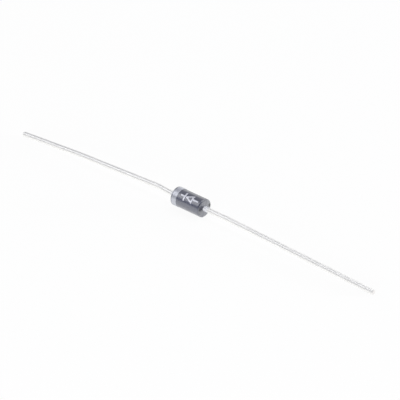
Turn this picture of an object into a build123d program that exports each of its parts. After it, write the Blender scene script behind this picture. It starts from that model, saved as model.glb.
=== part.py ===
from build123d import *
from math import dist, pi, radians, tan
import os

# A small axial rectifier diode: a moulded body with a printed band, and one wire out of each end.
# It lies on its side, as on a table. Millimetres. The origin is the middle of the body. +X runs
# along the body towards the anode wire, so the band and the cathode wire are at -X. +Z is up.

# The moulded body
body_diameter = 2.60
body_length = 5.15  # at the parting plane, where the moulding is longest
rim_radius = 0.18
end_draft = 3.0  # degrees that each mould half leans its end faces inwards
parting_turn = 70.0  # degrees from level to the plane where the two mould halves met
flash_height = 0.015  # the fine line of plastic that the mould leaves at the parting plane
flash_width = 0.04
gate_length = 0.90  # the scar on the parting plane where the runner was broken off
gate_width = 0.16
gate_height = 0.03

# The band of ink that marks the cathode
ink_thickness = 0.03
band_inset = 0.10  # from the end of the body to the ring's near edge, on the rounded rim
band_reach = 1.10  # from the end of the body to the ring's far edge

# The two wires, each with a head that was upset from the wire's own end
lead_diameter = 0.72
lead_length = 28.65  # from the end face to the tip, along the body's axis
head_diameter = 1.60
head_thickness = 0.30
head_bevel = 0.05
neck_length = 0.25  # the cone from the head down to the wire
tip_rounding = 0.06

# How handling bent the wires. Both tips have come down to the table. Each bend is the distance
# from the end face, the share of the tip's offset that the wire has there, and the arc's radius.
cathode_tip_sway = -0.585
cathode_bends = [(0.50, 0.0, 6.0), (3.18, -0.13, 8.0), (18.07, 0.413, 60.0)]
anode_tip_sway = 0.166
anode_bends = [(4.49, 0.0, 25.0)]

# The chip, its solder and the soft coating round its edge
chip_side = 1.10  # of the larger, cathode face
chip_thickness = 0.28
chip_bevel = 8.0  # degrees, from the etching of the chip's edge
solder_thickness = 0.05
solder_inset = 0.04  # bare rim of the chip's face
solder_flare = 0.03  # how much wider the solder is where it wets the head
coating_lap = 0.10  # how far the bead laps over each head's edge
coating_bulge = 0.18

# Worked out from the sizes above
body_radius = body_diameter / 2
lead_radius = lead_diameter / 2
head_radius = head_diameter / 2
body_end = body_length / 2
chip_half = chip_thickness / 2
head_face = chip_half + solder_thickness
head_back = head_face + head_thickness
coating_end = head_face + coating_lap
chip_anode_side = chip_side - 2 * chip_thickness * tan(radians(chip_bevel))
tip_drop = body_radius + ink_thickness - lead_radius  # the band and both tips share one table

# The plane where the mould halves met, and the plane across it that shows the draft
parting_plane = Plane.XY.rotated((parting_turn, 0, 0))
draft_plane = Plane.XZ.rotated((parting_turn, 0, 0))


def moulded_form(radius, rim):
    """A cylinder whose end faces lean in both ways from the parting plane, with rounded rims."""
    crown_end = body_end - radius * tan(radians(end_draft))
    with BuildPart() as form:
        with BuildSketch(draft_plane):
            with BuildLine():
                Polyline(
                    (-body_end, 0),
                    (-crown_end, -radius),
                    (crown_end, -radius),
                    (body_end, 0),
                    (crown_end, radius),
                    (-crown_end, radius),
                    close=True,
                )
            make_face()
        extrude(amount=radius, both=True)
        with BuildSketch(Plane.YZ):
            Circle(radius)
        extrude(amount=body_end, both=True, mode=Mode.INTERSECT)
        fillet(form.edges().filter_by(GeomType.ELLIPSE), rim)
    return form


def wire_corners(side, bends, tip_sway):
    """From the head, straight out of the body, over the bends and down to the table."""
    corners = [(side * head_face, 0, 0)]
    shares = [(distance, share) for distance, share, _ in bends] + [(lead_length, 1)]
    for distance, share in shares:
        corners.append((side * (body_end + distance), share * tip_sway, -share * tip_drop))
    return corners


def headed_wire(side, bends, tip_sway):
    """A wire swept along its bent route, with a cut tip, and its head and neck turned about X."""
    corners = wire_corners(side, bends, tip_sway)
    with BuildPart() as wire:
        with BuildLine() as route:
            FilletPolyline(*corners, radius=[radius for _, _, radius in bends])
        with BuildSketch(Plane(origin=corners[0], z_dir=(side, 0, 0))):
            Circle(lead_radius)
        sweep(path=route.line)
        ends = wire.edges().filter_by(GeomType.CIRCLE).sort_by(Axis.X)
        fillet(ends[0] if side < 0 else ends[-1], tip_rounding)
        with BuildSketch(Plane.XY) as head_section:
            with BuildLine():
                Polyline(
                    (side * head_face, 0),
                    (side * head_face, head_radius),
                    (side * head_back, head_radius),
                    (side * (head_back + neck_length), lead_radius),
                    (side * (head_back + neck_length), 0),
                    close=True,
                )
            make_face()
            chamfer(head_section.vertices().group_by(Axis.Y)[-1], head_bevel)
        revolve(axis=Axis.X)
    run = sum(dist(a, b) for a, b in zip(corners, corners[1:]))
    print("wire route", round(run, 3), "volume", round(wire.part.volume, 3))
    print("  section times length", round(pi * lead_radius**2 * run, 3))
    return wire


def solder_pad(side, chip_face):
    """A thin pad that wets the chip's face and spreads a little on the head."""
    pad_side = chip_face - 2 * solder_inset
    with BuildPart() as pad:
        with BuildSketch(Plane.YZ.offset(side * chip_half)):
            Rectangle(pad_side, pad_side)
        with BuildSketch(Plane.YZ.offset(side * head_face)):
            Rectangle(pad_side + 2 * solder_flare, pad_side + 2 * solder_flare)
        loft()
    return pad


cathode_lead = headed_wire(-1, cathode_bends, cathode_tip_sway)
anode_lead = headed_wire(1, anode_bends, anode_tip_sway)
cathode_solder = solder_pad(-1, chip_side)
anode_solder = solder_pad(1, chip_anode_side)

# The chip: a square slice whose edges the etch has bevelled, smaller on the anode side
with BuildPart() as silicon_die:
    with BuildSketch(Plane.YZ.offset(-chip_half)):
        Rectangle(chip_side, chip_side)
    extrude(amount=chip_thickness, taper=chip_bevel)

# The coating: a bead that fills the gap between the heads and bulges round their edges
with BuildPart() as junction_coating:
    with BuildSketch(Plane.XY):
        with BuildLine():
            ThreePointArc(
                (-coating_end, head_radius),
                (0, head_radius + coating_bulge),
                (coating_end, head_radius),
            )
            Polyline(
                (coating_end, head_radius),
                (coating_end, 0),
                (-coating_end, 0),
                (-coating_end, head_radius),
            )
        make_face()
    revolve(axis=Axis.X)
    for piece in (cathode_lead, anode_lead, cathode_solder, anode_solder, silicon_die):
        add(piece.part, mode=Mode.SUBTRACT)

# The moulding as it leaves the mould: fine flash all round its parting plane, and the gate's scar
with BuildPart() as moulding:
    add(moulded_form(body_radius, rim_radius).part)
    with BuildSketch(parting_plane):
        RectangleRounded(
            body_length + 2 * flash_height,
            body_diameter + 2 * flash_height,
            rim_radius + flash_height,
        )
    extrude(amount=flash_width / 2, both=True)
    with BuildSketch(parting_plane):
        with Locations((0, -body_radius)):
            Rectangle(gate_length, 2 * gate_height)
    extrude(amount=gate_width / 2, both=True)

# The body: the moulding, which has closed round everything that is inside it
with BuildPart() as epoxy_body:
    add(moulding.part)
    for piece in (junction_coating, cathode_lead, anode_lead, cathode_solder, anode_solder, silicon_die):
        add(piece.part, mode=Mode.SUBTRACT)

# The band: a skin of ink on the moulding, from its rounded rim inwards
with BuildPart() as cathode_band:
    add(moulded_form(body_radius + ink_thickness, rim_radius + ink_thickness).part)
    with BuildSketch(Plane.YZ.offset(-body_end + band_inset)):
        Circle(body_diameter)
    extrude(amount=band_reach - band_inset, mode=Mode.INTERSECT)
    add(moulding.part, mode=Mode.SUBTRACT)

pieces = {
    "epoxy_body": epoxy_body,
    "cathode_band": cathode_band,
    "cathode_lead": cathode_lead,
    "anode_lead": anode_lead,
    "silicon_die": silicon_die,
    "cathode_solder": cathode_solder,
    "anode_solder": anode_solder,
    "junction_coating": junction_coating,
}
os.makedirs("parts", exist_ok=True)
for name, piece in pieces.items():
    piece.part.label = name
    export_step(piece.part, f"parts/{name}.step")
    print(name, "solids", len(piece.part.solids()), "volume", round(piece.part.volume, 4))
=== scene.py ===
# %% [markdown]
# # A small rectifier diode on a white table
# The real thing is a black moulded cylinder, 2.6 mm across, with a printed silver ring at one end
# and a long tinned wire out of each end. It is lit softly from all round, on a table that the
# photograph shows as pure white. The engineering solids come from the frame. What is left to do
# here is the camera, the light, the finish of every surface, and the fine forms: the wires as they
# were drawn, bent and cut, and the ink as it was stamped on.

# %% Load the engineering frame
import bmesh
import bpy
import random
from math import cos, pi, radians, sin, tan
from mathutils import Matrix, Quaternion, Vector, noise


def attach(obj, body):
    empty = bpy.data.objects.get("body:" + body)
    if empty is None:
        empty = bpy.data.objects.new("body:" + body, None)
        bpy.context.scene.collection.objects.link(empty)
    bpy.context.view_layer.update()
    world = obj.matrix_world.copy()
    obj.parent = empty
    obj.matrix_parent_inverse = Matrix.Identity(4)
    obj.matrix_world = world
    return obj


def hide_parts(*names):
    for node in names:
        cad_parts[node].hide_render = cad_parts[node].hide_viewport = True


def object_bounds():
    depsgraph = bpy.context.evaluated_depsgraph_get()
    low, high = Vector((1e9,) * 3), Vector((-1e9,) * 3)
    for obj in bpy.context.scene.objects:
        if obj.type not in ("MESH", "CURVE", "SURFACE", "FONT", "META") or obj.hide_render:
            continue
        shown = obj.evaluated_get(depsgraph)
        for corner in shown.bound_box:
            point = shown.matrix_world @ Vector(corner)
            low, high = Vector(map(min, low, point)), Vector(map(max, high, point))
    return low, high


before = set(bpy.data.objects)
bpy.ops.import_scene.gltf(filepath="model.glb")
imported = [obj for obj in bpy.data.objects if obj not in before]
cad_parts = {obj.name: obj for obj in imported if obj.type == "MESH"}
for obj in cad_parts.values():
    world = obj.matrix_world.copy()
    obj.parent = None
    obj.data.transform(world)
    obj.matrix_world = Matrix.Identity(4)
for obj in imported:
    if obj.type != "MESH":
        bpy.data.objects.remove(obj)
cad_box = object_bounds()
MM = 0.001
print("CAD box in mm:", [[round(c / MM, 3) for c in corner] for corner in cad_box])

# %% [markdown]
# ## The camera
# A product photograph like this one is taken from a tripod with a long lens, so the wires hardly
# taper with distance. The camera could be placed by eye, but here its place was solved from the two
# wire tips and the outline of the body, and it aims at the middle of the body. A small shift slides
# the picture without turning the camera.

# %% Place the camera
PHOTO_SIDE = 400
FOCAL_PIXELS = 2453.3
SENSOR_WIDTH = 36.0  # mm, as a full-frame camera has
camera_azimuth = radians(42.57)
camera_height = radians(30.25)
camera_distance = 327.2 * MM
body_centre_pixel = (190.55, 201.95)

to_camera = Vector(
    (
        sin(camera_azimuth) * cos(camera_height),
        -cos(camera_azimuth) * cos(camera_height),
        sin(camera_height),
    )
)
camera_data = bpy.data.cameras.new("photo_camera")
camera_data.sensor_width = SENSOR_WIDTH
camera_data.lens = SENSOR_WIDTH * FOCAL_PIXELS / PHOTO_SIDE
camera_data.shift_x = (PHOTO_SIDE / 2 - body_centre_pixel[0]) / PHOTO_SIDE
camera_data.shift_y = (body_centre_pixel[1] - PHOTO_SIDE / 2) / PHOTO_SIDE
camera_data.clip_start = 1 * MM
camera = bpy.data.objects.new("photo_camera", camera_data)
camera.location = to_camera * camera_distance
camera.rotation_euler = to_camera.to_track_quat("Z", "Y").to_euler()
bpy.context.scene.collection.objects.link(camera)
bpy.context.scene.camera = camera
bpy.context.scene.view_settings.view_transform = "Standard"
print("lens", round(camera_data.lens, 1), "mm, shift", round(camera_data.shift_x, 4))

# %% [markdown]
# ## The table
# The photograph was taken in a white tent, and the table is overexposed to pure white. The table
# could be a lamp, but then it would swallow the shadow. Here it is a white surface that the camera,
# and anything glossy, sees mostly as plain white, while a small share of what they see is still the
# lit surface with its shadow.

# %% Start a finish and put it on


def start_material(name, colour, metallic, roughness):
    """A new material with one Principled surface."""
    material = bpy.data.materials.new(name)
    material.use_nodes = True
    surface = material.node_tree.nodes["Principled BSDF"]
    surface.inputs["Base Color"].default_value = (*colour, 1)
    surface.inputs["Metallic"].default_value = metallic
    surface.inputs["Roughness"].default_value = roughness
    return material, surface


def use_material(piece, material):
    """Puts the material in the piece's own slot, whether the mesh already has one or not."""
    if not piece.material_slots:
        piece.data.materials.append(material)
    piece.material_slots[0].link = "OBJECT"
    piece.material_slots[0].material = material
    print("finished:", piece.name)


# %% Lay the table
TABLE_SIZE = 2.0
table_level = cad_box[0].z

table_mesh = bmesh.new()
bmesh.ops.create_grid(table_mesh, x_segments=1, y_segments=1, size=TABLE_SIZE / 2)
bmesh.ops.translate(table_mesh, vec=(0, 0, table_level), verts=table_mesh.verts)
table_data = bpy.data.meshes.new("table")
table_mesh.to_mesh(table_data)
table_mesh.free()
table = bpy.data.objects.new("table", table_data)
bpy.context.scene.collection.objects.link(table)
print("table at", round(table_level / MM, 3), "mm")

# %% Paper that looks white
SHADOW_SHARE = 0.07
PAPER_COLOUR = (0.97, 0.97, 0.97)
PAPER_ROUGHNESS = 0.9


def seen_directly(tree):
    """1 for what the camera, a glossy surface or a clear one sees, and 0 for light that bounces."""
    path = tree.nodes.new("ShaderNodeLightPath")
    total = path.outputs["Is Camera Ray"]
    for kind in ("Is Glossy Ray", "Is Transmission Ray"):
        most = tree.nodes.new("ShaderNodeMath")
        most.operation = "MAXIMUM"
        tree.links.new(total, most.inputs[0])
        tree.links.new(path.outputs[kind], most.inputs[1])
        total = most.outputs[0]
    return total


paper, paper_surface = start_material("white_paper", PAPER_COLOUR, 0.0, PAPER_ROUGHNESS)
paper_tree = paper.node_tree
paper_glow = paper_tree.nodes.new("ShaderNodeEmission")
paper_glow.inputs["Strength"].default_value = 1.0
paper_mix = paper_tree.nodes.new("ShaderNodeMixShader")
paper_share = paper_tree.nodes.new("ShaderNodeMath")
paper_share.operation = "MULTIPLY"
paper_share.inputs[1].default_value = 1 - SHADOW_SHARE
paper_output = paper_tree.nodes["Material Output"]
paper_tree.links.new(seen_directly(paper_tree), paper_share.inputs[0])
paper_tree.links.new(paper_share.outputs[0], paper_mix.inputs["Fac"])
paper_tree.links.new(paper_surface.outputs["BSDF"], paper_mix.inputs[1])
paper_tree.links.new(paper_glow.outputs["Emission"], paper_mix.inputs[2])
paper_tree.links.new(paper_mix.outputs["Shader"], paper_output.inputs["Surface"])
use_material(table, paper)

# %% [markdown]
# ## The tent
# Round the table stand the walls of the tent. The one at the back is bright, the one at the front
# left is dim, and the opening where the camera stands is nearly dark. These differences draw the
# dark lines along the wires. Walls could be built as sheets, but they show only in soft
# reflections, so colours in the world do the same, as light levels where white paper is 1. Each
# wall is painted round a direction, and it fades in between two cosines of the angle from it.

# %% The walls of the tent
TENT_TOP = (0.40, 0.405, 0.44)
FRONT_WALL = (0.24, 0.245, 0.29)
BACK_WALL = (1.0, 1.0, 1.0)
CAMERA_OPENING = (0.04, 0.04, 0.045)
FRONT_SIDE = Vector((-0.62, -0.78, 0.05)).normalized()
BACK_SIDE = Vector((0.0, 1.0, 0.0))
OPENING_SIDE = Vector((0.60, -0.70, 0.40)).normalized()

tent = bpy.data.worlds.new("tent")
tent.use_nodes = True
bpy.context.scene.world = tent
tent_tree = tent.node_tree
tent_light = tent_tree.nodes["Background"]
direction = tent_tree.nodes.new("ShaderNodeTexCoord")


def paint_wall(colour_below, colour, side, edge_cosine, full_cosine):
    """The tent's colour with a wall painted on one side, from its faint edge to its full colour."""
    facing = tent_tree.nodes.new("ShaderNodeVectorMath")
    facing.operation = "DOT_PRODUCT"
    facing.inputs[1].default_value = side
    fade = tent_tree.nodes.new("ShaderNodeMapRange")
    fade.interpolation_type = "SMOOTHSTEP"
    fade.inputs["From Min"].default_value = edge_cosine
    fade.inputs["From Max"].default_value = full_cosine
    mixed = tent_tree.nodes.new("ShaderNodeMix")
    mixed.data_type = "RGBA"
    mixed.inputs["B"].default_value = (*colour, 1)
    tent_tree.links.new(direction.outputs["Generated"], facing.inputs[0])
    tent_tree.links.new(facing.outputs["Value"], fade.inputs["Value"])
    tent_tree.links.new(fade.outputs["Result"], mixed.inputs["Factor"])
    tent_tree.links.new(colour_below, mixed.inputs["A"])
    return mixed.outputs["Result"]


top_colour = tent_tree.nodes.new("ShaderNodeRGB")
top_colour.outputs[0].default_value = (*TENT_TOP, 1)
walls = top_colour.outputs[0]
walls = paint_wall(walls, FRONT_WALL, FRONT_SIDE, edge_cosine=0.90, full_cosine=0.98)
walls = paint_wall(walls, BACK_WALL, BACK_SIDE, edge_cosine=0.50, full_cosine=0.80)
walls = paint_wall(walls, CAMERA_OPENING, OPENING_SIDE, edge_cosine=0.46, full_cosine=0.66)
tent_tree.links.new(walls, tent_light.inputs["Color"])
print("the camera's opening lies towards", [round(c, 2) for c in OPENING_SIDE])

# %% [markdown]
# From lower down the camera would see the dim walls above the table's far edge. A product
# picture stays white there, so for the camera alone the world is plain white. A white sheet
# behind the part could do that too, but it would show in the wires.

# %% Plain white for the camera
camera_white = tent_tree.nodes.new("ShaderNodeBackground")
camera_white.inputs["Color"].default_value = (1, 1, 1, 1)
tent_path = tent_tree.nodes.new("ShaderNodeLightPath")
tent_mix = tent_tree.nodes.new("ShaderNodeMixShader")
tent_output = tent_tree.nodes["World Output"]
tent_tree.links.new(tent_path.outputs["Is Camera Ray"], tent_mix.inputs["Fac"])
tent_tree.links.new(tent_light.outputs["Background"], tent_mix.inputs[1])
tent_tree.links.new(camera_white.outputs["Background"], tent_mix.inputs[2])
tent_tree.links.new(tent_mix.outputs["Shader"], tent_output.inputs["Surface"])
print("the world has", len(tent_tree.nodes), "nodes")

# %% [markdown]
# ## The soft boxes
# Bare walls alone would light the part flatly. A real set adds soft boxes: one at the left draws the
# bright line along the top of the body and the wires, and one above lifts the whole part. Two more
# stand low, at the front and at the right. They light the lower side and the end face, and they
# stay out of the reflections, as panels outside the tent do. The walls could be painted brighter
# there instead, but a lamp has a size and a place, so it shapes the shadow as well.

# %% Soft boxes


def soft_box(name, towards, distance, size, brightness):
    """A square lamp that faces the object. Brightness is its radiance, where white paper is 1."""
    lamp = bpy.data.lights.new(name, "AREA")
    lamp.size = size
    lamp.energy = brightness * pi * size**2
    holder = bpy.data.objects.new(name, lamp)
    holder.location = Vector(towards).normalized() * distance
    holder.rotation_euler = Vector(towards).to_track_quat("Z", "Y").to_euler()
    holder.visible_camera = False
    bpy.context.scene.collection.objects.link(holder)
    print(name, round(lamp.energy, 2), "W")
    return holder


soft_box("left_soft_box", (-0.56, -0.51, 0.64), distance=0.45, size=0.29, brightness=1.15)
soft_box("top_soft_box", (0.0, 0.30, 0.95), distance=0.50, size=0.30, brightness=2.2)
low_panels = (
    soft_box("front_panel", (0.40, -0.90, 0.14), distance=0.35, size=0.13, brightness=21.0),
    soft_box("right_panel", (0.75, 0.65, 0.10), distance=0.40, size=0.08, brightness=80.0),
)
for panel in low_panels:
    panel.visible_glossy = False

# %% [markdown]
# ## A small kit for finishes
# Nothing real has one even colour. Every finish below takes some noise in the object's own
# coordinates, so that grain, streaks and stains have a real size. Image textures could do the
# same, but noise needs no file and never shows a seam.

# %% Noise, colours and bump
NOISE_MIDDLE = 0.5  # Blender's noise runs from 0 to 1 and keeps near this value


def grain(material, size, stretch=(1, 1, 1), detail=3.0):
    """Noise with features of about that size in metres, stretched along the object's axes."""
    nodes = material.node_tree.nodes
    links = material.node_tree.links
    place = nodes.new("ShaderNodeTexCoord")
    scale = nodes.new("ShaderNodeMapping")
    scale.inputs["Scale"].default_value = [1 / (size * factor) for factor in stretch]
    texture = nodes.new("ShaderNodeTexNoise")
    texture.inputs["Scale"].default_value = 1.0
    texture.inputs["Detail"].default_value = detail
    links.new(place.outputs["Object"], scale.inputs["Vector"])
    links.new(scale.outputs["Vector"], texture.inputs["Vector"])
    return texture.outputs["Fac"]


def between(material, factor, low, high, spread=0.25):
    """A number that goes from low to high while the factor crosses one half, within the spread."""
    node = material.node_tree.nodes.new("ShaderNodeMapRange")
    node.inputs["From Min"].default_value = NOISE_MIDDLE - spread
    node.inputs["From Max"].default_value = NOISE_MIDDLE + spread
    node.inputs["To Min"].default_value = low
    node.inputs["To Max"].default_value = high
    material.node_tree.links.new(factor, node.inputs["Value"])
    return node.outputs["Result"]


def two_tone(material, factor, first, second):
    """A colour that runs from the first to the second. Each is plain numbers or another output."""
    node = material.node_tree.nodes.new("ShaderNodeMix")
    node.data_type = "RGBA"
    links = material.node_tree.links
    for name, tone in (("A", first), ("B", second)):
        if isinstance(tone, tuple):
            node.inputs[name].default_value = (*tone, 1)
        else:
            links.new(tone, node.inputs[name])
    links.new(factor, node.inputs["Factor"])
    return node.outputs["Result"]


def feed(surface, name, output):
    """Lets an output set one of the surface's inputs at each point."""
    surface.id_data.links.new(output, surface.inputs[name])


def relief(material, surface, height, depth):
    """Bump of that depth in metres, added under any bump that the surface already has."""
    node = material.node_tree.nodes.new("ShaderNodeBump")
    node.inputs["Distance"].default_value = depth
    links = material.node_tree.links
    links.new(height, node.inputs["Height"])
    normal = surface.inputs["Normal"]
    if normal.is_linked:
        links.new(normal.links[0].from_socket, node.inputs["Normal"])
    links.new(node.outputs["Normal"], normal)


# %% [markdown]
# ## The moulded epoxy
# Rectifier bodies are moulded in a loaded black epoxy. The mould is spark-eroded, so the skin is a
# fine matt grain, and the mineral filler greys the black. Clear resin gathers at the surface, so the
# skin brightens towards its edges: a coat on top shows that better than a glossier base would. The
# flat end walls are greyer than the round skin, partly from a rougher finish and partly as painted
# light for the end faces, which catch more light. The solid already has the draft, the rims, the
# flash line and the gate's scar.

# %% Epoxy finish
CLOUD_SIZE = 0.9 * MM
PATCH_SIZE = 0.25 * MM
ERODED_SIZE = 0.035 * MM
ERODED_DEPTH = 0.0012 * MM
WAVE_SIZE = 0.5 * MM
WAVE_DEPTH = 0.003 * MM
END_WALL_STARTS = 2.42 * MM
END_WALL_FULL = 2.50 * MM

epoxy, epoxy_surface = start_material("moulded_epoxy", (0.033, 0.037, 0.070), 0.0, 0.31)
epoxy_surface.inputs["IOR"].default_value = 2.3
epoxy_surface.inputs["Coat Weight"].default_value = 1.0
epoxy_surface.inputs["Coat Roughness"].default_value = 0.20
epoxy_surface.inputs["Sheen Weight"].default_value = 0.20
epoxy_surface.inputs["Sheen Roughness"].default_value = 0.35
cloud = between(epoxy, grain(epoxy, CLOUD_SIZE, detail=2.0), 0, 1)
round_colour = two_tone(epoxy, cloud, (0.027, 0.032, 0.064), (0.038, 0.043, 0.077))
# The end walls' paler colour is partly a rougher finish and partly painted light.
end_grey_and_painted_light = two_tone(epoxy, cloud, (0.070, 0.074, 0.094), (0.095, 0.100, 0.122))
feed(epoxy_surface, "Roughness", between(epoxy, grain(epoxy, PATCH_SIZE), 0.26, 0.36))
relief(epoxy, epoxy_surface, grain(epoxy, ERODED_SIZE, detail=2.0), ERODED_DEPTH)
relief(epoxy, epoxy_surface, grain(epoxy, WAVE_SIZE), WAVE_DEPTH)
print("epoxy skin: grains of", round(ERODED_SIZE / MM, 3), "mm")

# %% [markdown]
# ## Painted shade at the anode end
# Beside the wire's foot the end wall is painted dark: a painted shadow of the wire, with its dark
# reflection, over a shallow dent in the bump. Across from it the rim is painted dark as shade, over a
# small nick. They could be cut into the mesh, but the solid stays as it was made, and at this size
# colour and bump show the same. Their edges are uneven, because a neat round dent looks drilled. The
# painted shade has to lose its shine as well, so that it stays dark. A metal's shine takes the
# metal's own colour, so a share of near-black metal does that.
# A mask painted by hand would need an image, so these helpers measure the place itself, along the
# part's axis or from a point.

# %% Masks by place


def product(material, first, second):
    """Two outputs multiplied."""
    node = material.node_tree.nodes.new("ShaderNodeMath")
    node.operation = "MULTIPLY"
    material.node_tree.links.new(first, node.inputs[0])
    material.node_tree.links.new(second, node.inputs[1])
    return node.outputs["Value"]


def along_axis(material, first, last, low=0.0, high=1.0):
    """A number that goes from low to high between two distances from the middle, along X."""
    nodes = material.node_tree.nodes
    links = material.node_tree.links
    place = nodes.new("ShaderNodeTexCoord")
    split = nodes.new("ShaderNodeSeparateXYZ")
    size = nodes.new("ShaderNodeMath")
    size.operation = "ABSOLUTE"
    fade = nodes.new("ShaderNodeMapRange")
    fade.inputs["From Min"].default_value = first
    fade.inputs["From Max"].default_value = last
    fade.inputs["To Min"].default_value = low
    fade.inputs["To Max"].default_value = high
    links.new(place.outputs["Object"], split.inputs["Vector"])
    links.new(split.outputs["X"], size.inputs[0])
    links.new(size.outputs["Value"], fade.inputs["Value"])
    return fade.outputs["Result"]


def away_from(material, place, inner, outer, unevenness):
    """0 up to the inner distance from a place, and up to 1 at the outer one, with an uneven edge."""
    nodes = material.node_tree.nodes
    links = material.node_tree.links
    here = nodes.new("ShaderNodeTexCoord")
    size = nodes.new("ShaderNodeMapping")
    size.inputs["Scale"].default_value = [1 / unevenness] * 3
    texture = nodes.new("ShaderNodeTexNoise")
    texture.inputs["Scale"].default_value = 1.0
    texture.inputs["Detail"].default_value = 1.0
    moved = nodes.new("ShaderNodeVectorMath")
    moved.operation = "MULTIPLY_ADD"
    moved.inputs[1].default_value = [unevenness] * 3
    gap = nodes.new("ShaderNodeVectorMath")
    gap.operation = "DISTANCE"
    gap.inputs[1].default_value = place + Vector([NOISE_MIDDLE] * 3) * unevenness
    rise = nodes.new("ShaderNodeMapRange")
    rise.interpolation_type = "SMOOTHSTEP"
    rise.inputs["From Min"].default_value = inner
    rise.inputs["From Max"].default_value = outer
    links.new(here.outputs["Object"], size.inputs["Vector"])
    links.new(size.outputs["Vector"], texture.inputs["Vector"])
    links.new(texture.outputs["Color"], moved.inputs[0])
    links.new(here.outputs["Object"], moved.inputs[2])
    links.new(moved.outputs["Vector"], gap.inputs[0])
    links.new(gap.outputs["Value"], rise.inputs["Value"])
    return rise.outputs["Result"]


# %% Painted shade at the anode end
HOLLOW_DEPTH = 0.15 * MM
# Painted shadow: the wire's shadow and its dark reflection on the end wall, beside its foot.
WIRE_SHADOW_COLOUR = (0.030, 0.032, 0.055)
NICK_DEPTH = 0.08 * MM
# Painted shade: the rim across from the wire's shadow, darkened as shade.
RIM_SHADE_COLOUR = (0.030, 0.030, 0.032)
wire_shadow_place = Vector((2.60, -0.76, 0.32)) * MM
rim_shade_place = Vector((2.56, 1.00, 0.14)) * MM

wire_shadow_and_dent = away_from(epoxy, wire_shadow_place, inner=0.20 * MM, outer=0.55 * MM, unevenness=0.25 * MM)
rim_shade_and_nick = away_from(epoxy, rim_shade_place, inner=0.08 * MM, outer=0.36 * MM, unevenness=0.20 * MM)
# The painted shadow and the painted rim shade darken the end wall's colour.
with_wire_shadow = two_tone(epoxy, wire_shadow_and_dent, WIRE_SHADOW_COLOUR, end_grey_and_painted_light)
with_wire_and_rim_shade = two_tone(epoxy, rim_shade_and_nick, RIM_SHADE_COLOUR, with_wire_shadow)
end_share = along_axis(epoxy, END_WALL_STARTS, END_WALL_FULL)
feed(epoxy_surface, "Base Color", two_tone(epoxy, end_share, round_colour, with_wire_and_rim_shade))
# Inside both painted shades the near-black colour turns metal, so that no shine lightens them.
painted_shade_metal = between(epoxy, product(epoxy, wire_shadow_and_dent, rim_shade_and_nick), 1, 0, spread=0.5)
feed(epoxy_surface, "Metallic", painted_shade_metal)
relief(epoxy, epoxy_surface, wire_shadow_and_dent, HOLLOW_DEPTH)
relief(epoxy, epoxy_surface, rim_shade_and_nick, NICK_DEPTH)
use_material(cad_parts["epoxy_body"], epoxy)

# %% [markdown]
# ## The silver ink
# The cathode ring is printed in silver ink: fine aluminium flakes in a clear binder. Plain grey
# paint would look dead where a lamp passes over it, and bare metal would be too much of a mirror.
# So it is a metallic surface with a fair roughness and a fine sparkle from the flakes. On the
# rounded rim the ink is thin, and the black shows through in patches.

# %% The ring's ink
FLAKE_SIZE = 0.03 * MM
FLAKE_DEPTH = 0.0015 * MM
SMUDGE_SIZE = 0.3 * MM
WORN_SIZE = 0.35 * MM
WORN_STARTS = 2.20 * MM
WORN_FULL = 2.40 * MM
WORN_COLOUR = (0.07, 0.07, 0.09)

silver_ink, ink_surface = start_material("silver_ink", (0.62, 0.63, 0.68), 0.88, 0.39)
flakes = grain(silver_ink, FLAKE_SIZE, detail=1.0)
flake_share = between(silver_ink, flakes, 0, 1)
flake_colour = two_tone(silver_ink, flake_share, (0.54, 0.555, 0.605), (0.69, 0.705, 0.76))
worn_patches = between(silver_ink, grain(silver_ink, WORN_SIZE, detail=1.0), 0.3, 1)
worn_share = product(silver_ink, along_axis(silver_ink, WORN_STARTS, WORN_FULL), worn_patches)
feed(ink_surface, "Base Color", two_tone(silver_ink, worn_share, flake_colour, WORN_COLOUR))
feed(ink_surface, "Roughness", between(silver_ink, grain(silver_ink, SMUDGE_SIZE), 0.32, 0.46))
relief(silver_ink, ink_surface, flakes, FLAKE_DEPTH)
use_material(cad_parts["cathode_band"], silver_ink)

# %% [markdown]
# The sign on the side is the same ink laid on thicker, where the binder makes it paler and less
# metallic. One finish could serve both, but then the sign would turn dark where the ring does.

# %% The sign's ink
BLOT_SIZE = 0.12 * MM
sign_ink, sign_surface = start_material("sign_ink", (0.70, 0.71, 0.77), 0.5, 0.45)
blots = between(sign_ink, grain(sign_ink, BLOT_SIZE, detail=2.0), 0, 1)
sign_colour = two_tone(sign_ink, blots, (0.60, 0.61, 0.67), (0.80, 0.81, 0.87))
feed(sign_surface, "Base Color", sign_colour)
print("sign ink: blots of", round(BLOT_SIZE / MM, 3), "mm")

# %% [markdown]
# ## Tinned wire
# The wires are copper with a dipped skin of tin. Drawing leaves fine lines along the wire, and the
# tin flows into slow ripples. The lines are stretched noise, long along X and short across, in
# both the roughness and the bump. For the first half millimetre out of the body the tin is frosted
# and a little bluer, because the mould closed on it there, so its colour and its metal share change
# along X. A second material for that foot would leave a hard line.

# %% Tin finish
DRAWN_SIZE = 0.05 * MM
DRAWN_STRETCH = (40, 1, 1)
DRAWN_DEPTH = 0.0006 * MM
TIN_CLOUD_SIZE = 0.6 * MM
TIN_CLOUD_STRETCH = (4, 1, 1)
FROST_START = 3.05 * MM
FROST_END = 3.40 * MM
FROSTED_COLOUR = (0.92, 0.93, 0.98)
FROSTED_METAL = 0.30
TIN_METAL = 0.85

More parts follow.
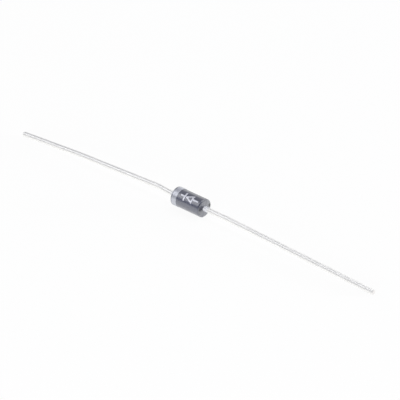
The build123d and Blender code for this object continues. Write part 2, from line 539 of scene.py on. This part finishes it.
tin, tin_surface = start_material("tinned_copper", (0.965, 0.96, 0.94), TIN_METAL, 0.42)
drawn_lines = grain(tin, DRAWN_SIZE, DRAWN_STRETCH, detail=2.0)
tin_cloud = between(tin, grain(tin, TIN_CLOUD_SIZE, TIN_CLOUD_STRETCH), 0, 1)
drawn_colour = two_tone(tin, tin_cloud, (0.94, 0.935, 0.915), (0.99, 0.985, 0.965))
past_foot = along_axis(tin, FROST_START, FROST_END)
feed(tin_surface, "Base Color", two_tone(tin, past_foot, FROSTED_COLOUR, drawn_colour))
feed(tin_surface, "Roughness", between(tin, drawn_lines, 0.35, 0.49))
bright_share = along_axis(tin, FROST_START, FROST_END, FROSTED_METAL, TIN_METAL)
feed(tin_surface, "Metallic", bright_share)
relief(tin, tin_surface, drawn_lines, DRAWN_DEPTH)
line_length = DRAWN_SIZE * DRAWN_STRETCH[0]
print("drawn lines:", round(DRAWN_SIZE / MM, 3), "mm wide and", round(line_length / MM, 1), "mm long")

# %% [markdown]
# The blade that trims a wire lays the copper bare and drags some tin across it, so the cut is a
# pale, scored copper. The tin could go on over the end, but then the tips would look dipped.

# %% Copper that a cut lays bare
SMEAR_SIZE = 0.12 * MM
SMEAR_STRETCH = (1, 1, 3)
SCORE_SIZE = 0.04 * MM
SCORE_STRETCH = (1, 1, 5)
SCORE_DEPTH = 0.004 * MM

cut_copper, cut_surface = start_material("cut_copper", (0.95, 0.92, 0.91), 1.0, 0.35)
smear = between(cut_copper, grain(cut_copper, SMEAR_SIZE, SMEAR_STRETCH), 0, 1)
cut_colour = two_tone(cut_copper, smear, (0.93, 0.89, 0.87), (0.97, 0.965, 0.96))
feed(cut_surface, "Base Color", cut_colour)
relief(cut_copper, cut_surface, grain(cut_copper, SCORE_SIZE, SCORE_STRETCH), SCORE_DEPTH)
print("cut copper: scores", round(SCORE_DEPTH / MM, 3), "mm deep")

# %% [markdown]
# ## The wires' route
# The lead-forming machine and a few months in a drawer gave each wire its slight bends. A smooth
# curve through chosen points could do, but a stiff wire really is straight runs joined by arcs,
# so the route is made that way. The distances are the ones that the solids use.

# %% Sizes of the wires
body_radius = 1.30 * MM
body_end = 2.575 * MM
ink_thickness = 0.03 * MM
lead_radius = 0.36 * MM
lead_length = 28.65 * MM
head_face = 0.19 * MM
head_thickness = 0.30 * MM
head_radius = 0.80 * MM
head_bevel = 0.05 * MM
neck_length = 0.25 * MM
neck_end = head_thickness + neck_length
tip_drop = body_radius + ink_thickness - lead_radius

# Each bend is the distance from the end face, the share of the tip's offset there, and its radius.
cathode_sway = -0.585 * MM
cathode_bends = [
    (0.50 * MM, 0.0, 6 * MM),
    (3.18 * MM, -0.13, 8 * MM),
    (18.07 * MM, 0.413, 60 * MM),
]
anode_sway = 0.166 * MM
anode_bends = [(4.49 * MM, 0.0, 25 * MM)]
print("bends:", len(cathode_bends), "in the cathode wire and", len(anode_bends), "in the anode wire")

# %% Follow the bends
FEWEST_ARC_STEPS = 4


def straight(start, end, spacing):
    """Evenly spaced points on a straight run, each with its heading, without the last one."""
    run = end - start
    count = max(1, round(run.length / spacing))
    return [(start + run * (i / count), run.normalized()) for i in range(count)]


def follow_bends(side, bends, sway, spacing):
    """Points and headings from the head's face to the tip: straight runs joined by arcs."""
    corners = [Vector((side * head_face, 0, 0))]
    for distance, share, _ in bends:
        corners.append(Vector((side * (body_end + distance), share * sway, -share * tip_drop)))
    corners.append(Vector((side * (body_end + lead_length), sway, -tip_drop)))
    stations = []
    start = corners[0]
    for (_, _, radius), corner, after in zip(bends, corners[1:], corners[2:]):
        before_heading = (corner - start).normalized()
        after_heading = (after - corner).normalized()
        turn = before_heading.angle(after_heading)
        reach = radius * tan(turn / 2)
        arc_start = corner - before_heading * reach
        stations += straight(start, arc_start, spacing)
        axis = before_heading.cross(after_heading).normalized()
        centre = arc_start + axis.cross(before_heading) * radius
        steps = max(FEWEST_ARC_STEPS, round(radius * turn / spacing))
        for i in range(steps):
            swing = Quaternion(axis, turn * i / steps)
            stations.append((centre + swing @ (arc_start - centre), swing @ before_heading))
        start = corner + after_heading * reach
    stations += straight(start, corners[-1], spacing)
    stations.append((corners[-1], (corners[-1] - start).normalized()))
    return stations


# %% [markdown]
# ## The wires' skin
# The wire could be a curve with a round bevel. A curve gives no say over each ring of points, and a
# drawn wire is never quite round: it has lines from the die, slow ripples in the tin, and an end
# that the blade has pinched. So the rings are laid one by one, and each point is moved in or out by
# a thousandth of a millimetre or two.

# %% The section of a wire at each point
RING_POINTS = 48
ROUTE_SPACING = 0.10 * MM
TIP_BEVEL = 0.05 * MM
PINCH_LENGTH = 0.35 * MM
PINCH_SHARE = 0.07
PINCH_SPREAD = 0.4  # how much of the pinch comes out again at the sides
LINE_DEPTH = 0.0008 * MM
LINES_ROUND = 9  # radius of the circle of noise laid round the wire: more gives more lines
LINE_RUN = 12  # mm along the wire for one step of that noise
RIPPLE_DEPTH = 0.002 * MM
RIPPLES_ROUND = 0.8
RIPPLE_RUN = 3


def wire_radius(along, whole):
    """The radius at a distance from the head's face: head, neck, wire, and the rounded tip."""
    if along < head_bevel:
        return head_radius - head_bevel + along
    if along <= head_thickness - head_bevel:
        return head_radius
    if along <= head_thickness:
        return head_radius - (along - head_thickness + head_bevel)
    if along < neck_end:
        share = (along - head_thickness) / neck_length
        return (head_radius - head_bevel) * (1 - share) + lead_radius * share
    left = whole - along
    if left < TIP_BEVEL:
        return lead_radius - (TIP_BEVEL - left)
    return lead_radius


def skin_offset(along, angle, seed):
    """How far the drawn and tinned surface stands out here, from lines and slow ripples."""
    way_round = Vector((cos(angle), sin(angle), 0))
    line_place = way_round * LINES_ROUND + Vector((0, 0, along / MM / LINE_RUN + seed))
    ripple_place = way_round * RIPPLES_ROUND + Vector((0, 0, along / MM / RIPPLE_RUN - seed))
    return noise.noise(line_place) * LINE_DEPTH + noise.noise(ripple_place) * RIPPLE_DEPTH


def wire_ring(mesh, mark, whole, seed):
    """One ring of points across the wire."""
    along, point, heading = mark
    across = Vector((0, 0, 1)).cross(heading).normalized()
    upright = heading.cross(across)
    radius = wire_radius(along, whole)
    pinch = max(0.0, 1 - (whole - along) / PINCH_LENGTH) * PINCH_SHARE
    ring = []
    for i in range(RING_POINTS):
        angle = 2 * pi * i / RING_POINTS
        rough = skin_offset(along, angle, seed) if along > neck_end else 0.0
        reach = radius + rough
        sideways = across * cos(angle) * reach * (1 + pinch * PINCH_SPREAD)
        up = upright * sin(angle) * reach * (1 - pinch)
        ring.append(mesh.verts.new(point + sideways + up))
    return ring


# %% [markdown]
# The rings stand close together along the route, and each edge of the head and the tip gets a ring
# of its own, so that it stays crisp. The cut face is sunk and uneven, as a blade leaves it, and
# there the copper shows.

# %% Lay the rings
CUT_SINK = 0.02 * MM
CUT_RINGS = (0.75, 0.45)  # shares of the way from the middle of the cut to its rim
CUT_STEP = 0.01 * MM
CUT_ROUGHNESS = 0.02 * MM
CUT_GRAINS_PER_MM = 6
COPPER_SLOT = 1
WIRE_SHARP_ANGLE = radians(35)


def ring_marks(stations):
    """Where the rings go, in order: the distance from the head's face, the middle, the heading."""
    lengths = [0.0]
    for (before, _), (after, _) in zip(stations, stations[1:]):
        lengths.append(lengths[-1] + (after - before).length)
    whole = lengths[-1]
    first_point, first_heading = stations[0]
    last_point, last_heading = stations[-1]
    head_edges = (0.0, head_bevel, head_thickness - head_bevel, head_thickness, neck_end)
    marks = [(along, first_point + first_heading * along, first_heading) for along in head_edges]
    for back in (PINCH_LENGTH / 2, TIP_BEVEL, TIP_BEVEL / 2, 0.0):
        marks.append((whole - back, last_point - last_heading * back, last_heading))
    for along, (point, heading) in zip(lengths, stations):
        if neck_end + ROUTE_SPACING / 2 < along < whole - PINCH_LENGTH:
            marks.append((along, point, heading))
    return sorted(marks, key=lambda mark: mark[0])


def join_rings(mesh, rings):
    """The faces between each ring and the next."""
    faces = []
    for ring, following in zip(rings, rings[1:]):
        for i in range(RING_POINTS):
            j = (i + 1) % RING_POINTS
            faces.append(mesh.faces.new((ring[i], ring[j], following[j], following[i])))
    return faces


def close_tip(mesh, last_ring, point, heading):
    """The cut face: two uneven rings inside the last one, and a small flat middle."""
    middle = point - heading * CUT_SINK
    rings = [last_ring]
    for share in CUT_RINGS:
        inner = []
        for vertex in last_ring:
            place = middle.lerp(vertex.co, share)
            bump = noise.noise(place / MM * CUT_GRAINS_PER_MM) * CUT_ROUGHNESS
            inner.append(mesh.verts.new(place - heading * (CUT_STEP + abs(bump))))
        rings.append(inner)
    for face in join_rings(mesh, rings) + [mesh.faces.new(rings[-1])]:
        face.material_index = COPPER_SLOT


def make_piece(name, mesh, sharp_angle, materials):
    """An object from finished faces, which shade smoothly but keep their sharp edges."""
    data = bpy.data.meshes.new(name)
    mesh.to_mesh(data)
    mesh.free()
    data.polygons.foreach_set("use_smooth", [True] * len(data.polygons))
    data.set_sharp_from_angle(angle=sharp_angle)
    for material in materials:
        data.materials.append(material)
    piece = bpy.data.objects.new(name, data)
    bpy.context.scene.collection.objects.link(piece)
    print(name, "faces", len(data.polygons))
    return piece


def lay_wire(name, node, side, bends, sway, seed):
    """The finished wire as rings of points along its route, with a flat head and a cut tip."""
    stations = follow_bends(side, bends, sway, ROUTE_SPACING)
    marks = ring_marks(stations)
    whole = marks[-1][0]
    mesh = bmesh.new()
    rings = [wire_ring(mesh, mark, whole, seed) for mark in marks]
    join_rings(mesh, rings)
    mesh.faces.new(list(reversed(rings[0])))
    close_tip(mesh, rings[-1], *stations[-1])
    if side < 0:
        bmesh.ops.reverse_faces(mesh, faces=mesh.faces)
    bmesh.ops.recalc_face_normals(mesh, faces=mesh.faces)
    wire = make_piece(name, mesh, WIRE_SHARP_ANGLE, [tin, cut_copper])
    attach(wire, "root")
    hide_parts(node)
    print(name, "rings", len(rings), "length", round(whole / MM, 2), "mm")


lay_wire("cathode_wire", "cathode_lead", -1, cathode_bends, cathode_sway, seed=3.1)
lay_wire("anode_wire", "anode_lead", 1, anode_bends, anode_sway, seed=7.7)

# %% [markdown]
# ## The printed sign
# The body carries a small print in the same silver ink. Here it is the plain drawing sign for a
# diode, a triangle against a bar, which any reader of circuit diagrams knows.
# It could be a texture, but real ink stands a hair above the skin, and a stamp leaves a slightly
# uneven edge. So the shapes are drawn flat, thickened, sliced into narrow strips and wrapped round
# the cylinder.

# %% Draw flat, slice, wrap
PRINT_MIDDLE = radians(125)  # from level at the back, over the top
PRINT_THICKNESS = 0.014 * MM
PRINT_SINK = 0.004 * MM
EDGE_STEP = 0.04 * MM
EDGE_ROUGHNESS = 0.010 * MM
STRIP = 0.06 * MM
SLICE_TOLERANCE = 1e-8
SIGN_SHARP_ANGLE = radians(40)
print_random = random.Random(41)


def rough_outline(corners):
    """The outline in short steps, each nudged a little, as a worn stamp prints it."""
    points = []
    for (x, y), (next_x, next_y) in zip(corners, corners[1:] + corners[:1]):
        length = ((next_x - x) ** 2 + (next_y - y) ** 2) ** 0.5
        steps = max(1, round(length / EDGE_STEP))
        for i in range(steps):
            nudge_x = print_random.uniform(-EDGE_ROUGHNESS, EDGE_ROUGHNESS)
            nudge_y = print_random.uniform(-EDGE_ROUGHNESS, EDGE_ROUGHNESS)
            share = i / steps
            points.append((x + (next_x - x) * share + nudge_x, y + (next_y - y) * share + nudge_y))
    return points


def thick_shape(outlines):
    """A flat shape with its holes, filled and thickened."""
    shape = bmesh.new()
    for outline in outlines:
        ring = [shape.verts.new((x, y, 0)) for x, y in rough_outline(outline)]
        for first, second in zip(ring, ring[1:] + ring[:1]):
            shape.edges.new((first, second))
    bmesh.ops.triangle_fill(shape, use_beauty=True, use_dissolve=False, edges=shape.edges)
    raised = bmesh.ops.extrude_face_region(shape, geom=shape.faces[:], use_keep_orig=True)
    top = [part for part in raised["geom"] if isinstance(part, bmesh.types.BMVert)]
    bmesh.ops.translate(shape, vec=(0, 0, PRINT_THICKNESS), verts=top)
    return shape


def slice_shape(shape):
    """Cuts across the shape, so that it has points enough to bend round the body."""
    low = min(vertex.co.y for vertex in shape.verts)
    high = max(vertex.co.y for vertex in shape.verts)
    for i in range(1, int((high - low) / STRIP)):
        parts = shape.verts[:] + shape.edges[:] + shape.faces[:]
        bmesh.ops.bisect_plane(
            shape,
            geom=parts,
            plane_co=(0, low + i * STRIP, 0),
            plane_no=(0, 1, 0),
            dist=SLICE_TOLERANCE,
        )
    bmesh.ops.recalc_face_normals(shape, faces=shape.faces)


def wrap_round_body(ink):
    """Bends flat ink round the body: X stays along the axis, and Y goes round it."""
    for vertex in ink.verts:
        along, around, height = vertex.co
        angle = PRINT_MIDDLE - around / body_radius
        reach = body_radius - PRINT_SINK + height
        vertex.co = (along, cos(angle) * reach, sin(angle) * reach)
    bmesh.ops.recalc_face_normals(ink, faces=ink.faces)


def stamp(name, shapes):
    """One piece of ink from flat shapes, each a list of outlines: the edge first, then any holes."""
    whole = bmesh.new()
    for outlines in shapes:
        shape = thick_shape(outlines)
        slice_shape(shape)
        shape_data = bpy.data.meshes.new("shape")
        shape.to_mesh(shape_data)
        shape.free()
        whole.from_mesh(shape_data)
        bpy.data.meshes.remove(shape_data)
    wrap_round_body(whole)
    ink = make_piece(name, whole, SIGN_SHARP_ANGLE, [sign_ink])
    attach(ink, "root")


# %% The diode sign
LINE_WIDTH = 0.22 * MM
sign_left = -1.05 * MM
sign_right = 2.05 * MM
sign_half_height = 0.64 * MM
arrow_left = -0.20 * MM
arrow_right = 1.10 * MM
hole_scale = 0.48


def bar_outline(left, right, low, high):
    """The four corners of an upright bar."""
    return [(left, low), (right, low), (right, high), (left, high)]


arrow = [(arrow_left, 0), (arrow_right, -sign_half_height), (arrow_right, sign_half_height)]
arrow_middle = sum(x for x, _ in arrow) / 3
arrow_hole = [(arrow_middle + (x - arrow_middle) * hole_scale, y * hole_scale) for x, y in arrow]
bar = bar_outline(arrow_left - LINE_WIDTH, arrow_left, -sign_half_height, sign_half_height)
left_line = bar_outline(sign_left, arrow_left - LINE_WIDTH, -LINE_WIDTH / 2, LINE_WIDTH / 2)
right_line = bar_outline(arrow_right, sign_right, -LINE_WIDTH / 2, LINE_WIDTH / 2)
stamp("printed_sign", [[arrow, arrow_hole], [bar], [left_line], [right_line]])

# %% [markdown]
# ## What is sealed inside
# The chip, its solder and its soft coating never show in a picture of a whole diode, but a cut-away
# would show them. Each gets the finish of its real material.

# %% Chip, solder and coating
LAPPED_SIZE = 0.02 * MM
LAPPED_STRETCH = (1, 6, 1)
CRYSTAL_SIZE = 0.08 * MM
CRYSTAL_DEPTH = 0.004 * MM
MILKY_SIZE = 0.3 * MM

silicon, silicon_surface = start_material("silicon", (0.20, 0.21, 0.24), 0.9, 0.2)
lapped = grain(silicon, LAPPED_SIZE, LAPPED_STRETCH)
feed(silicon_surface, "Roughness", between(silicon, lapped, 0.12, 0.32))
use_material(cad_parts["silicon_die"], silicon)

solder, solder_surface = start_material("solder", (0.55, 0.56, 0.57), 1.0, 0.4)
crystals = grain(solder, CRYSTAL_SIZE)
crystal_share = between(solder, crystals, 0, 1)
solder_colour = two_tone(solder, crystal_share, (0.46, 0.47, 0.48), (0.62, 0.63, 0.64))
feed(solder_surface, "Base Color", solder_colour)
relief(solder, solder_surface, crystals, CRYSTAL_DEPTH)
for pad in ("cathode_solder", "anode_solder"):
    use_material(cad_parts[pad], solder)

coating, coating_surface = start_material("soft_coating", (0.80, 0.78, 0.74), 0.0, 0.3)
coating_surface.inputs["Subsurface Weight"].default_value = 0.4
coating_surface.inputs["Subsurface Radius"].default_value = (0.2 * MM, 0.18 * MM, 0.15 * MM)
milkiness = between(coating, grain(coating, MILKY_SIZE), 0, 1)
coating_colour = two_tone(coating, milkiness, (0.76, 0.74, 0.70), (0.84, 0.82, 0.79))
feed(coating_surface, "Base Color", coating_colour)
use_material(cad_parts["junction_coating"], coating)
